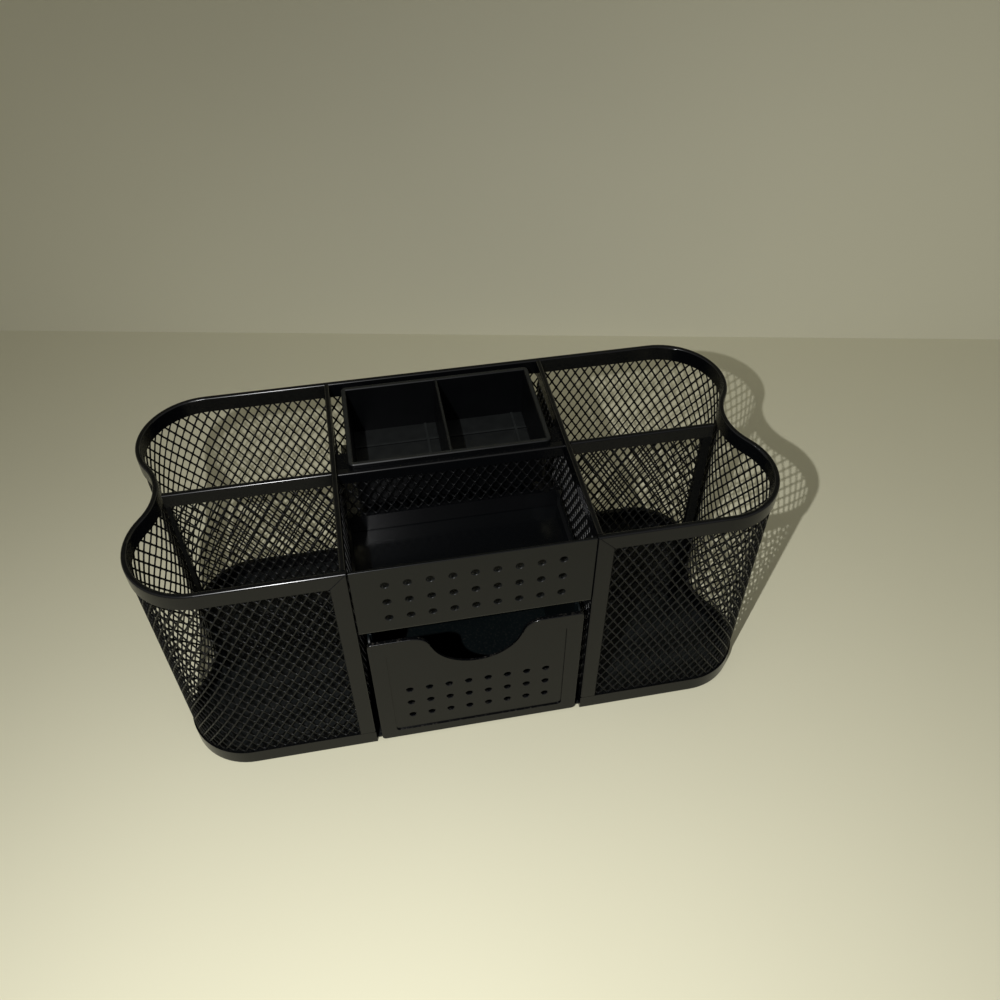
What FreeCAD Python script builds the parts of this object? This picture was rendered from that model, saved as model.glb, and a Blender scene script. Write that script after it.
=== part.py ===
"""Pen stand with a drawer: a steel-mesh desk organizer with four pen compartments.

Frame of the model: X to the right, Y from the front to the back, Z up, in millimetres. The origin is
in the middle of the footprint, on the surface that the stand rests on.
"""
import FreeCAD, Part
import math
import os

import Sketcher

# The ends and the centre of a sketch's geometry.
START = 1
END = 2
CENTRE = 3

# Positions closer than this are the same place.
SAME_PLACE = 1e-4

SIZES = (
    # The outline of the mesh wall, seen from above.
    ("body_width", 226.0, "over the lobes of both ends"),
    ("body_depth", 100.0, "front face to back face"),
    ("body_height", 104.5, "desk to the top of the rim"),
    ("corner_radius", 24.0, "the four outer corners, up to the dip in each end"),
    ("dip_depth", 8.0, "how far the middle of each end comes in"),
    ("bay_width", 83.0, "clear width of the middle bay"),
    # The folded strips that bind the mesh.
    ("strip_thickness", 2.0, "a folded strip, mesh included"),
    ("fold_radius", 0.7, "rounding of a folded edge"),
    ("mesh_thickness", 0.8, "expanded steel mesh"),
    ("seam_bevel", 0.2, "front edges of the strips where they meet"),
    ("rim_height", 6.4, "top rim"),
    ("base_rim_height", 7.5, "bottom rim"),
    ("post_width", 6.0, "upright strips beside the bay"),
    ("panel_strip_height", 6.0, "strips along the side panels"),
    ("divider_strip_height", 5.5, "strips along the dividers"),
    ("left_divider_end_width", 1.6, "upright strip at the left divider's outer end"),
    ("left_divider_gap", 1.4, "from it to the mesh wall's dip"),
    ("right_divider_end_width", 3.4, "upright strip at the right divider's outer end"),
    ("right_divider_gap", 4.6, "from it to the mesh wall's dip"),
    ("divider_setback", 46.8, "front face of the dividers"),
    ("weld_gap", 0.2, "between strips that are spot-welded"),
    # Coarse diamond openings that stand for the fine ones of the mesh wall.
    ("back_opening_columns", 12, "between the back's round corners"),
    ("end_opening_columns", 6, "round each end"),
    ("opening_rows", 4, "both"),
    ("opening_share", 0.8, "share of a cell's width and height that is open"),
    ("end_opening_inset", 5.0, "from the front and back faces to the ends' openings"),
    # Sheet parts.
    ("base_thickness", 0.8, "solid floor"),
    ("sheet_thickness", 1.0, "shelf and upper front panel"),
    ("front_panel_height", 33.5, "upper front panel, from the top to the underside of the shelf"),
    ("shelf_side_gap", 0.5, "shelf to the side panels"),
    ("shelf_flange_height", 5.0, "upturned side flanges of the shelf"),
    ("bend_radius", 1.6, "outside of a bend in a sheet"),
    ("edge_rounding", 0.3, "painted cut edges of the front sheets"),
    ("panel_hole_diameter", 2.7, "round holes of the upper panel and the drawer"),
    ("hole_bevel", 0.2, "front edges of the holes"),
    ("hole_pitch_x", 7.5, "between columns of holes"),
    ("hole_pitch_z", 8.65, "between rows of holes"),
    ("panel_hole_columns", 9, "upper panel"),
    ("drawer_hole_columns", 8, "drawer front"),
    ("hole_rows", 3, "both"),
    # The mesh partition between the front slot and the tray.
    ("partition_setback", 48.0, "its front face"),
    ("partition_drop", 1.9, "its top, below the rim"),
    ("partition_strip_height", 4.6, "its top strip"),
    ("partition_foot_height", 8.0, "its bottom strip"),
    ("ledge_width", 2.9, "flat top of its strip, which carries the tray"),
    ("partition_side_gap", 0.1, "to the side panels' strips"),
    # The drawer.
    ("drawer_side_gap", 2.2, "drawer front to the posts"),
    ("drawer_floor_gap", 0.3, "drawer to the stand's floor"),
    ("drawer_top_gap", 6.5, "open gap between the drawer front and the upper panel"),
    ("drawer_front_thickness", 1.4, "drawer front"),
    ("drawer_corner_radius", 1.5, "corners of the drawer front"),
    ("recess_depth", 0.5, "the pressed-in middle of the drawer front"),
    ("recess_corner_radius", 1.5, "its corners"),
    ("recess_border_side", 6.0, "border beside it"),
    ("recess_border_low", 4.9, "border under it"),
    ("recess_border_high", 6.5, "border over it"),
    ("drawer_hole_height", 22.8, "middle row, over the drawer front's lower edge"),
    ("scoop_radius", 17.5, "round bottom of the finger scoop"),
    ("scoop_depth", 19.2, "finger scoop, below the top edge"),
    ("scoop_shoulder_radius", 7.0, "where the scoop meets the top edge"),
    ("drawer_box_inset", 0.6, "drawer box inside the drawer front's edge"),
    ("drawer_wall", 0.8, "drawer box sheet"),
    ("drawer_back_gap", 4.6, "drawer box to the back wall"),
    ("drawer_wall_drop", 0.5, "drawer sides below the front's top edge"),
    ("hem_height", 4.0, "folded top edge of the drawer's sides and back"),
    ("drawer_side_round", 4.0, "front top corners of the drawer's sides"),
    # The lift-out tray.
    ("tray_side_gap", 4.3, "its rim to the side panels' strips"),
    ("tray_front_gap", 2.2, "its rim behind the partition's front face"),
    ("tray_back_gap", 2.9, "its rim to the back wall"),
    ("tray_height", 22.2, "rim to underside"),
    ("tray_lip", 0.8, "rim beyond the tray's walls"),
    ("tray_wall", 1.0, "walls, floor and divider"),
    ("tray_draft", 2.0, "degrees that its walls lean in"),
    ("tray_corner_radius", 2.0, "outer upright corners"),
    ("tray_edge_bevel", 0.3, "edges of its rim"),
    ("tray_seat_gap", 0.1, "under its lip"),
    ("tray_rib_width", 1.0, "ribs on its floor"),
    ("tray_rib_height", 0.4, "ribs on its floor"),
    ("tray_rib_inset", 32.5, "long rib, behind the rim's front edge"),
    ("tray_rib_side", 5.0, "cross rib, from each compartment's right wall"),
    ("lug_width", 8.0, "the lugs under the tray's corners"),
    ("lug_thickness", 0.8, "lugs"),
    ("lug_leg", 5.0, "upright leg of a lug"),
    ("rear_lug_inset", 5.0, "rear lugs to the bay's sides"),
)


class Size:
    """A length, held as a number and as the spreadsheet expression that gives it."""

    def __init__(self, number, text):
        self.number = float(number)
        self.text = text

    def __add__(self, other):
        return join(self, "+", other, self.number + number_of(other))

    def __sub__(self, other):
        return join(self, "-", other, self.number - number_of(other))

    def __mul__(self, other):
        return join(self, "*", other, self.number * number_of(other))

    def __truediv__(self, other):
        return join(self, "/", other, self.number / number_of(other))

    def __neg__(self):
        return self * -1


def number_of(length):
    """The plain number of a Size or of a number."""
    return length.number if isinstance(length, Size) else float(length)


def text_of(length):
    """The expression text of a Size or of a number."""
    return length.text if isinstance(length, Size) else repr(float(length))


def join(first, sign, second, number):
    """The Size that an arithmetic sign makes of two lengths."""
    return Size(number, "(%s %s %s)" % (text_of(first), sign, text_of(second)))


os.makedirs("parts", exist_ok=True)
doc = FreeCAD.newDocument("pen_stand")
sheet = doc.addObject("Spreadsheet::Sheet", "Sizes")
size = {}
for row, (name, number, note) in enumerate(SIZES, start=1):
    sheet.set("A%d" % row, name)
    sheet.set("B%d" % row, str(number))
    sheet.set("C%d" % row, note)
    sheet.setAlias("B%d" % row, name)
    size[name] = Size(number, "Sizes.%s" % name)
doc.recompute()

NOTHING = Size(0, "0")

# Lines and levels that several pieces share.
half_width = size["body_width"] / 2
half_depth = size["body_depth"] / 2
half_bay = size["bay_width"] / 2
strip = size["strip_thickness"]
top = size["body_height"]
rim_low = top - size["rim_height"]
mesh_inset = (strip - size["mesh_thickness"]) / 2
post_outer = half_bay + size["post_width"]
panel_outer = half_bay + strip
front_face = -half_depth
back_inner = half_depth - strip
floor_level = size["base_thickness"]
panel_strip_low = top - size["panel_strip_height"]
panel_foot_high = floor_level + size["panel_strip_height"]
divider_strip_low = top - size["divider_strip_height"]
dip_inner = half_width - size["dip_depth"] - strip
shelf_low = top - size["front_panel_height"]
shelf_top = shelf_low + size["sheet_thickness"]
shelf_half = half_bay - size["shelf_side_gap"]
ledge_top = top - size["partition_drop"]
divider_front = front_face + size["divider_setback"]
partition_front = front_face + size["partition_setback"]
partition_back = partition_front + strip
partition_half = half_bay - size["partition_side_gap"]
partition_foot_high = shelf_top + size["partition_foot_height"]
partition_strip_low = ledge_top - size["partition_strip_height"]
front_half = half_bay - size["drawer_side_gap"]
front_low = floor_level + size["drawer_floor_gap"]
front_top = shelf_low - size["drawer_top_gap"]
tray_half = half_bay - size["tray_side_gap"]
tray_front = partition_front + size["tray_front_gap"]
tray_back = back_inner - size["tray_back_gap"]
lip_low = ledge_top + size["tray_seat_gap"]


class Drawing:
    """A sketch on one of a body's origin planes, whose points are given as Sizes."""

    def __init__(self, body, plane, offset=NOTHING):
        planes = [feature for feature in body.Origin.OriginFeatures if feature.Role == plane]
        self.sketch = body.newObject("Sketcher::SketchObject", body.Label + "_sketch")
        self.sketch.AttachmentSupport = [(planes[0], "")]
        self.sketch.MapMode = "FlatFace"
        self.sketch.setExpression("AttachmentOffset.Base.z", text_of(offset))

    def bind(self, kind, geometry, point, length):
        """Add a constraint whose value comes from the sheet."""
        parts = (kind, geometry, number_of(length))
        if point:
            parts = (kind, geometry, point, number_of(length))
        index = self.sketch.addConstraint(Sketcher.Constraint(*parts))
        self.sketch.setExpression("Constraints[%d]" % index, text_of(length))

    def place(self, geometry, point, spot):
        """Fix one point of a geometry at a spot (x, y)."""
        self.bind("DistanceX", geometry, point, spot[0])
        self.bind("DistanceY", geometry, point, spot[1])

    def meet(self, first, first_point, second, second_point, kind="Coincident"):
        """Join two ends, smoothly if the kind is Tangent."""
        self.sketch.addConstraint(Sketcher.Constraint(kind, first, first_point, second, second_point))

    def line(self, start, end):
        """A line between two spots that are only starting places."""
        ends = [FreeCAD.Vector(number_of(spot[0]), number_of(spot[1]), 0) for spot in (start, end)]
        return self.sketch.addGeometry(Part.LineSegment(*ends), False)

    def arc(self, centre, radius, first_angle, last_angle):
        """An arc, counter-clockwise between two angles, of a bound radius."""
        middle = FreeCAD.Vector(number_of(centre[0]), number_of(centre[1]), 0)
        circle = Part.Circle(middle, FreeCAD.Vector(0, 0, 1), number_of(radius))
        index = self.sketch.addGeometry(Part.ArcOfCircle(circle, first_angle, last_angle), False)
        self.bind("Radius", index, None, radius)
        return index

    def circle(self, centre, radius):
        """A circle with a bound centre and radius."""
        middle = FreeCAD.Vector(number_of(centre[0]), number_of(centre[1]), 0)
        index = self.sketch.addGeometry(
            Part.Circle(middle, FreeCAD.Vector(0, 0, 1), number_of(radius)), False)
        self.bind("Radius", index, None, radius)
        self.place(index, CENTRE, centre)
        return index

    def polygon(self, spots):
        """A closed outline with every corner bound."""
        lines = [self.line(spot, spots[(n + 1) % len(spots)]) for n, spot in enumerate(spots)]
        for n, spot in enumerate(spots):
            self.meet(lines[n - 1], END, lines[n], START)
            self.place(lines[n], START, spot)

    def diamond(self, middle, reach_across, reach_up):
        """A diamond around its middle."""
        across, up = middle
        self.polygon(((across - reach_across, up), (across, up - reach_up),
                      (across + reach_across, up), (across, up + reach_up)))

    def rectangle(self, low, high):
        """A rectangle between its low and high corners."""
        self.polygon((low, (high[0], low[1]), high, (low[0], high[1])))


def new_body(label):
    """An empty body whose label names the piece and its file."""
    body = doc.addObject("PartDesign::Body", label)
    body.Label = label
    return body


def pad(body, drawing, length, reverse=False, middle=False, draft=None):
    """Pad a drawing along its plane's normal, against it, or to both sides."""
    feature = body.newObject("PartDesign::Pad", body.Label + "_pad")
    feature.Profile = drawing.sketch
    feature.setExpression("Length", text_of(length))
    feature.Reversed = reverse
    feature.Midplane = middle
    if draft is not None:
        feature.setExpression("TaperAngle", text_of(draft))
    drawing.sketch.Visibility = False
    doc.recompute()
    return feature


def pocket(body, drawing, length, reverse=False, middle=False, draft=None):
    """Cut a drawing out of the body, and make sure that it removes material."""
    before = body.Shape.Volume
    feature = body.newObject("PartDesign::Pocket", body.Label + "_pocket")
    feature.Profile = drawing.sketch
    feature.setExpression("Length", text_of(length))
    feature.Reversed = reverse
    feature.Midplane = middle
    if draft is not None:
        feature.setExpression("TaperAngle", text_of(draft))
    doc.recompute()
    if not body.Shape.Volume < before:
        raise RuntimeError("a pocket of %s cuts nothing" % body.Label)
    return feature


def picked_edges(feature, chosen):
    """A feature and the names of its edges that the test picks."""
    names = ["Edge%d" % n for n, edge in enumerate(feature.Shape.Edges, start=1) if chosen(edge)]
    if not names:
        raise RuntimeError("no edge of %s is picked" % feature.Label)
    return feature, names


def round_edges(body, feature, radius, chosen):
    """Round the edges of a feature that the test picks."""
    fillet = body.newObject("PartDesign::Fillet", body.Label + "_round")
    fillet.Base = picked_edges(feature, chosen)
    fillet.setExpression("Radius", text_of(radius))
    doc.recompute()
    return fillet


def bevel_edges(body, feature, width, chosen):
    """Bevel the edges of a feature that the test picks."""
    chamfer = body.newObject("PartDesign::Chamfer", body.Label + "_bevel")
    chamfer.Base = picked_edges(feature, chosen)
    chamfer.setExpression("Size", text_of(width))
    doc.recompute()
    return chamfer


def flat_at(level, axis):
    """A test for edges that lie at one level of an axis (0 X, 1 Y, 2 Z)."""
    def chosen(edge):
        box = edge.BoundBox
        low = (box.XMin, box.YMin, box.ZMin)[axis]
        high = (box.XMax, box.YMax, box.ZMax)[axis]
        return max(abs(low - number_of(level)), abs(high - number_of(level))) < SAME_PLACE
    return chosen


def runs_along(axis):
    """A test for straight edges that run along an axis (0 X, 1 Y, 2 Z)."""
    def chosen(edge):
        box = edge.BoundBox
        lengths = (box.XLength, box.YLength, box.ZLength)
        return max(lengths) == lengths[axis] and sum(lengths) - lengths[axis] < SAME_PLACE
    return chosen


def both(first, second):
    """A test that needs both tests."""
    return lambda edge: first(edge) and second(edge)


def other_than(unwanted):
    """A test that turns another one round."""
    return lambda edge: not unwanted(edge)


def span(side, near, far):
    """The low and high X of a piece between two distances from the middle, on one side."""
    return (near, far) if side > 0 else (-far, -near)


def plain_sheet(label, x_span, y_span, z_span):
    """A flat rectangular piece with square edges."""
    piece = doc.addObject("Part::Box", label)
    piece.Label = label
    for edge, base, (low, high) in (("Length", "x", x_span), ("Width", "y", y_span), ("Height", "z", z_span)):
        piece.setExpression(edge, text_of(high - low))
        piece.setExpression("Placement.Base." + base, text_of(low))
    return piece


def strip_along_x(label, x_span, y_span, z_span):
    """A folded strip along X, folded over the top of what it binds."""
    body = new_body(label)
    drawing = Drawing(body, "YZ_Plane", x_span[0])
    drawing.rectangle((y_span[0], z_span[0]), (y_span[1], z_span[1]))
    feature = pad(body, drawing, x_span[1] - x_span[0])
    chosen = both(flat_at(z_span[1], 2), runs_along(0))
    return round_edges(body, feature, size["fold_radius"], chosen)


def strip_along_y(label, x_span, y_span, z_span):
    """A folded strip along Y, folded over the top of what it binds."""
    body = new_body(label)
    drawing = Drawing(body, "XZ_Plane", -y_span[0])
    drawing.rectangle((x_span[0], z_span[0]), (x_span[1], z_span[1]))
    feature = pad(body, drawing, y_span[1] - y_span[0], reverse=True)
    chosen = both(flat_at(z_span[1], 2), runs_along(1))
    return round_edges(body, feature, size["fold_radius"], chosen)


class Outline:
    """The stand's plan outline, drawn at any distance inside its outer face."""

    corner = size["corner_radius"]
    corner_x = half_width - corner
    corner_y = half_depth - corner
    reach = (size["dip_depth"] * size["dip_depth"] + corner_y * corner_y) / (size["dip_depth"] * 2)
    dip_radius = reach - corner
    dip_x = half_width - size["dip_depth"] + dip_radius

    def __init__(self, drawing, inset):
        self.drawing = drawing
        self.inset = inset
        self.turn = math.asin(self.corner_y.number / self.reach.number)

    def corner_arc(self, side, y, first_angle, last_angle):
        """One of the four outer corners."""
        centre = (self.corner_x * side, y)
        index = self.drawing.arc(centre, self.corner - self.inset, first_angle, last_angle)
        self.drawing.place(index, CENTRE, centre)
        return index

    def dip_arc(self, side):
        """The dip in the middle of one end. Its ends' tangents place it."""
        middle = math.pi if side > 0 else 0.0
        centre = (self.dip_x * side, NOTHING)
        return self.drawing.arc(centre, self.dip_radius + self.inset, middle - self.turn, middle + self.turn)

    def smooth_chain(self, links):
        """Join the links (geometry, entry, exit) one after another, smoothly."""
        for (first, _, first_exit), (second, second_entry, _) in zip(links, links[1:]):
            self.drawing.meet(first, first_exit, second, second_entry, "Tangent")

    def ends_and_back(self):
        """The right end, the back and the left end, as links in that order."""
        quarter = math.pi / 2
        back = half_depth - self.inset
        return [
            (self.corner_arc(1, -self.corner_y, -quarter, self.turn), START, END),
            (self.dip_arc(1), END, START),
            (self.corner_arc(1, self.corner_y, -self.turn, quarter), START, END),
            (self.drawing.line((self.corner_x, back), (-self.corner_x, back)), START, END),
            (self.corner_arc(-1, self.corner_y, quarter, math.pi + self.turn), START, END),
            (self.dip_arc(-1), END, START),
            (self.corner_arc(-1, -self.corner_y, math.pi - self.turn, 3 * quarter), START, END),
        ]

    def closed(self):
        """The whole outline, with a straight front."""
        links = self.ends_and_back()
        front_y = front_face + self.inset
        front = self.drawing.line((-self.corner_x, front_y), (self.corner_x, front_y))
        links.append((front, START, END))
        self.smooth_chain(links + links[:1])

    def open_front(self, x_end):
        """The outline from one side of the bay round the back to the other; gives its end links."""
        front_y = front_face + self.inset
        right = self.drawing.line((x_end, front_y), (self.corner_x, front_y))
        left = self.drawing.line((-self.corner_x, front_y), (-x_end, front_y))
        self.smooth_chain([(right, START, END)] + self.ends_and_back() + [(left, START, END)])
        for index, point, x in ((right, START, x_end), (left, END, -x_end)):
            self.drawing.sketch.addConstraint(Sketcher.Constraint("Horizontal", index))
            self.drawing.bind("DistanceX", index, point, x)
        return right, left


def wall_strip(label, insets, x_end, z_span):
    """A strip that follows the outline between two insets, from one side of the bay to the other."""
    body = new_body(label)
    drawing = Drawing(body, "XY_Plane", z_span[0])
    outer_right, outer_left = Outline(drawing, insets[0]).open_front(x_end)
    inner_right, inner_left = Outline(drawing, insets[1]).open_front(x_end)
    for first, second, point, x in ((outer_right, inner_right, START, x_end),
                                    (outer_left, inner_left, END, -x_end)):
        closing = drawing.line((x, front_face + insets[0]), (x, front_face + insets[1]))
        drawing.meet(first, point, closing, START)
        drawing.meet(second, point, closing, END)
    return body, pad(body, drawing, z_span[1] - z_span[0])


def front_drawing(body):
    """A drawing in the plane of the stand's front face, seen from the front."""
    return Drawing(body, "XZ_Plane", -front_face)


def cut_openings(body, plane, columns, reach):
    """Cut staggered diamonds through the mesh wall on both sides, over a reach from its middle."""
    low = size["base_rim_height"]
    row_count = int(size["opening_rows"].number)
    column_count = int(columns.number)
    cell_width = reach * 2 / columns
    cell_height = (rim_low - low) / size["opening_rows"]
    half_open = size["opening_share"] / 2
    for offset, rows, count in ((0.5, row_count, column_count), (1.0, row_count + 1, column_count - 1)):
        column = Drawing(body, plane)
        for row in range(rows):
            middle = (cell_width * offset - reach, low + cell_height * (row + 1 - offset))
            column.diamond(middle, cell_width * half_open, cell_height * half_open)
        feature = pocket(body, column, size["body_width"] * 2, middle=True)
        pattern = body.newObject("PartDesign::LinearPattern", body.Label + "_pattern")
        pattern.Originals = [feature]
        pattern.Direction = (column.sketch, ["H_Axis"])
        pattern.setExpression("Length", text_of(cell_width * (count - 1)))
        pattern.Occurrences = count
        body.Tip = pattern
        doc.recompute()


def make_outer_mesh():
    """The mesh strip, between the rims and from post to post."""
    body, _ = wall_strip("outer_mesh", (mesh_inset, strip - mesh_inset), post_outer,
                         (size["base_rim_height"], rim_low))
    cut_openings(body, "XZ_Plane", size["back_opening_columns"], Outline.corner_x)
    cut_openings(body, "YZ_Plane", size["end_opening_columns"], half_depth - size["end_opening_inset"])


def slanted(edge):
    """Whether an edge leans, as a mitre does."""
    return edge.BoundBox.XLength > SAME_PLACE and edge.BoundBox.ZLength > SAME_PLACE


def make_rims():
    """The top rim, mitred where it meets the posts, and the bottom rim."""
    body, feature = wall_strip("top_rim", (NOTHING, strip), half_bay, (rim_low, top))
    closing_edge = number_of(strip) + SAME_PLACE

    def outline_edge(edge):
        return edge.Length > closing_edge

    round_edges(body, feature, size["fold_radius"], both(flat_at(top, 2), outline_edge))
    for side in (1, -1):
        mitre = front_drawing(body)
        mitre.polygon(((half_bay * side, rim_low), (post_outer * side, rim_low), (half_bay * side, top)))
        feature = pocket(body, mitre, strip * 2, middle=True)
    bevel_edges(body, feature, size["seam_bevel"], both(flat_at(front_face, 1), slanted))
    body, feature = wall_strip("bottom_rim", (NOTHING, strip), half_bay,
                               (NOTHING, size["base_rim_height"]))
    round_edges(body, feature, size["fold_radius"], both(flat_at(NOTHING, 2), outline_edge))


def make_posts():
    """The upright strips on the mesh's front ends, mitred under the top rim."""
    for side, label in ((-1, "left_post"), (1, "right_post")):
        body = new_body(label)
        drawing = front_drawing(body)
        drawing.polygon((
            (half_bay * side, size["base_rim_height"]),
            (post_outer * side, size["base_rim_height"]),
            (post_outer * side, rim_low),
            (half_bay * side, top),
        ))
        feature = pad(body, drawing, strip, reverse=True)
        fold = both(flat_at(half_bay * side, 0), runs_along(2))
        feature = round_edges(body, feature, size["fold_radius"], fold)
        fold_end = flat_at((half_bay + size["fold_radius"]) * side, 0)
        bevel_edges(body, feature, size["seam_bevel"], both(flat_at(front_face, 1), other_than(fold_end)))


def make_base_plate():
    """The solid floor, inside the bottom rim."""
    body = new_body("base_plate")
    drawing = Drawing(body, "XY_Plane")
    Outline(drawing, strip).closed()
    pad(body, drawing, size["base_thickness"])


def make_side_panels():
    """The bay's two mesh sides with their strips."""
    depth = (front_face + strip, back_inner)
    for side, name in ((-1, "left_panel"), (1, "right_panel")):
        strip_span = span(side, half_bay, panel_outer)
        mesh_span = span(side, half_bay + mesh_inset, panel_outer - mesh_inset)
        plain_sheet(name + "_mesh", mesh_span, depth, (panel_foot_high, panel_strip_low))
        strip_along_y(name + "_band", strip_span, depth, (panel_strip_low, top))
        plain_sheet(name + "_foot", strip_span, depth, (floor_level, panel_foot_high))


def make_dividers():
    """The mesh sheets that split the baskets, with their strips."""
    strip_depth = (divider_front, divider_front + strip)
    mesh_depth = (divider_front + mesh_inset, divider_front + strip - mesh_inset)
    for side, name in ((-1, "left_divider"), (1, "right_divider")):
        end_far = dip_inner - size[name + "_gap"]
        end_near = end_far - size[name + "_end_width"]
        plain_sheet(name + "_mesh", span(side, panel_outer, end_near), mesh_depth,
                    (floor_level, divider_strip_low))
        strip_along_x(name + "_band", span(side, panel_outer, end_far), strip_depth,
                      (divider_strip_low, top))
        plain_sheet(name + "_end", span(side, end_near, end_far), strip_depth,
                    (floor_level, divider_strip_low))


def make_partition():
    """The mesh across the bay, with the ledge for the tray along its top."""
    front = partition_front
    width = (-partition_half, partition_half)
    plain_sheet("partition_mesh", width, (front + mesh_inset, partition_back - mesh_inset),
                (partition_foot_high, partition_strip_low))
    plain_sheet("partition_foot", width, (front, partition_back), (shelf_top, partition_foot_high))
    body = new_body("partition_band")
    drawing = Drawing(body, "YZ_Plane")
    ledge_low = ledge_top - mesh_inset * 2
    drawing.polygon((
        (front, partition_strip_low),
        (partition_back, partition_strip_low),
        (partition_back, ledge_low),
        (front + size["ledge_width"], ledge_low),
        (front + size["ledge_width"], ledge_top),
        (front, ledge_top),
    ))
    feature = pad(body, drawing, partition_half * 2, middle=True)
    chosen = both(both(flat_at(ledge_top, 2), flat_at(front, 1)), runs_along(0))
    round_edges(body, feature, size["fold_radius"], chosen)


def add_holes(drawing, columns, middle_height):
    """Rows and columns of round holes, centred on the bay, as one drawing."""
    column_count = int(columns.number)
    row_count = int(size["hole_rows"].number)
    for row in range(row_count):
        for column in range(column_count):
            x = size["hole_pitch_x"] * (column - (column_count - 1) / 2)
            z = middle_height + size["hole_pitch_z"] * (row - (row_count - 1) / 2)
            drawing.circle((x, z), size["panel_hole_diameter"] / 2)


def hole_edge(edge):
    """Whether an edge is the full circle of one of the small holes."""
    return edge.isClosed() and edge.BoundBox.XLength < size["hole_pitch_x"].number


def make_shelf_panel():
    """One bent sheet: the perforated upper front, the shelf behind it and its side flanges."""
    sheet_thickness = size["sheet_thickness"]
    panel_back = front_face + sheet_thickness
    shelf_back = back_inner + mesh_inset - size["weld_gap"]
    body = new_body("shelf_panel")
    drawing = Drawing(body, "YZ_Plane")
    drawing.polygon((
        (front_face, shelf_low),
        (shelf_back, shelf_low),
        (shelf_back, shelf_top),
        (panel_back, shelf_top),
        (panel_back, top),
        (front_face, top),
    ))
    feature = pad(body, drawing, shelf_half * 2, middle=True)
    bend = both(both(flat_at(shelf_low, 2), flat_at(front_face, 1)), runs_along(0))
    feature = round_edges(body, feature, size["bend_radius"], bend)
    round_edges(body, feature, size["edge_rounding"], both(flat_at(top, 2), runs_along(0)))
    for side in (-1, 1):
        low, high = span(side, shelf_half - sheet_thickness, shelf_half)
        flange = Drawing(body, "YZ_Plane", low)
        flange.rectangle((panel_back, shelf_top),
                         (partition_front, shelf_top + size["shelf_flange_height"]))
        pad(body, flange, high - low)
    holes = front_drawing(body)
    add_holes(holes, size["panel_hole_columns"], (shelf_low + top) / 2)
    feature = pocket(body, holes, sheet_thickness * 2, middle=True)
    bevel_edges(body, feature, size["hole_bevel"], both(flat_at(front_face, 1), hole_edge))


def draw_lug(drawing, side, wall, tip):
    """A lug's section: a leg on a wall and a flat tongue out to its tip."""
    thickness = size["lug_thickness"]
    leg_low = ledge_top - size["lug_leg"]
    drawing.polygon((
        (wall * side, leg_low),
        (wall * side, ledge_top),
        (tip * side, ledge_top),
        (tip * side, ledge_top - thickness),
        ((wall - thickness) * side, ledge_top - thickness),
        ((wall - thickness) * side, leg_low),
    ))


def make_tray_lugs():
    """Small bent lugs under the corners of the tray's lip."""
    overlap = size["tray_lip"] - size["weld_gap"]
    width = size["lug_width"]
    front_lug = partition_front + size["ledge_width"] + size["weld_gap"]
    for side, name in ((-1, "left"), (1, "right")):
        body = new_body(name + "_front_lug")
        drawing = Drawing(body, "XZ_Plane", -front_lug)
        draw_lug(drawing, side, half_bay, tray_half - overlap)
        pad(body, drawing, width, reverse=True)

        body = new_body(name + "_rear_lug")
        inner = half_bay - size["rear_lug_inset"]
        drawing = Drawing(body, "YZ_Plane", span(side, inner - width, inner)[0])
        draw_lug(drawing, 1, back_inner, tray_back - overlap)
        pad(body, drawing, width)


def scoop_outline(drawing):
    """The drawer front's outline with its finger scoop, as one smooth-shouldered loop."""
    radius = size["scoop_radius"]
    shoulder = size["scoop_shoulder_radius"]
    centre_z = front_top - size["scoop_depth"] + radius
    shoulder_z = front_top - shoulder
    rise = centre_z.number - shoulder_z.number
    reach = radius.number + shoulder.number
    shoulder_x = math.sqrt(reach * reach - rise * rise)
    lean = math.asin(rise / reach)

    bottom = drawing.arc((NOTHING, centre_z), radius, math.pi + lean, 2 * math.pi - lean)
    drawing.place(bottom, CENTRE, (NOTHING, centre_z))
    right = drawing.arc((shoulder_x, shoulder_z), shoulder, math.pi / 2, math.pi - lean)
    left = drawing.arc((-shoulder_x, shoulder_z), shoulder, lean, math.pi / 2)
    drawing.meet(bottom, END, right, END, "Tangent")
    drawing.meet(bottom, START, left, START, "Tangent")

    top_right = drawing.line((shoulder_x, front_top), (front_half, front_top))
    right_edge = drawing.line((front_half, front_top), (front_half, front_low))
    low_edge = drawing.line((front_half, front_low), (-front_half, front_low))
    left_edge = drawing.line((-front_half, front_low), (-front_half, front_top))
    top_left = drawing.line((-front_half, front_top), (-shoulder_x, front_top))
    drawing.meet(right, START, top_right, START, "Tangent")
    drawing.meet(left, END, top_left, END, "Tangent")
    for first, second in ((top_right, right_edge), (right_edge, low_edge),
                          (low_edge, left_edge), (left_edge, top_left)):
        drawing.meet(first, END, second, START)
    for edge, spot in ((right_edge, (front_half, front_top)), (low_edge, (front_half, front_low)),
                       (left_edge, (-front_half, front_low)), (top_left, (-front_half, front_top))):
        drawing.place(edge, START, spot)


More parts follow.
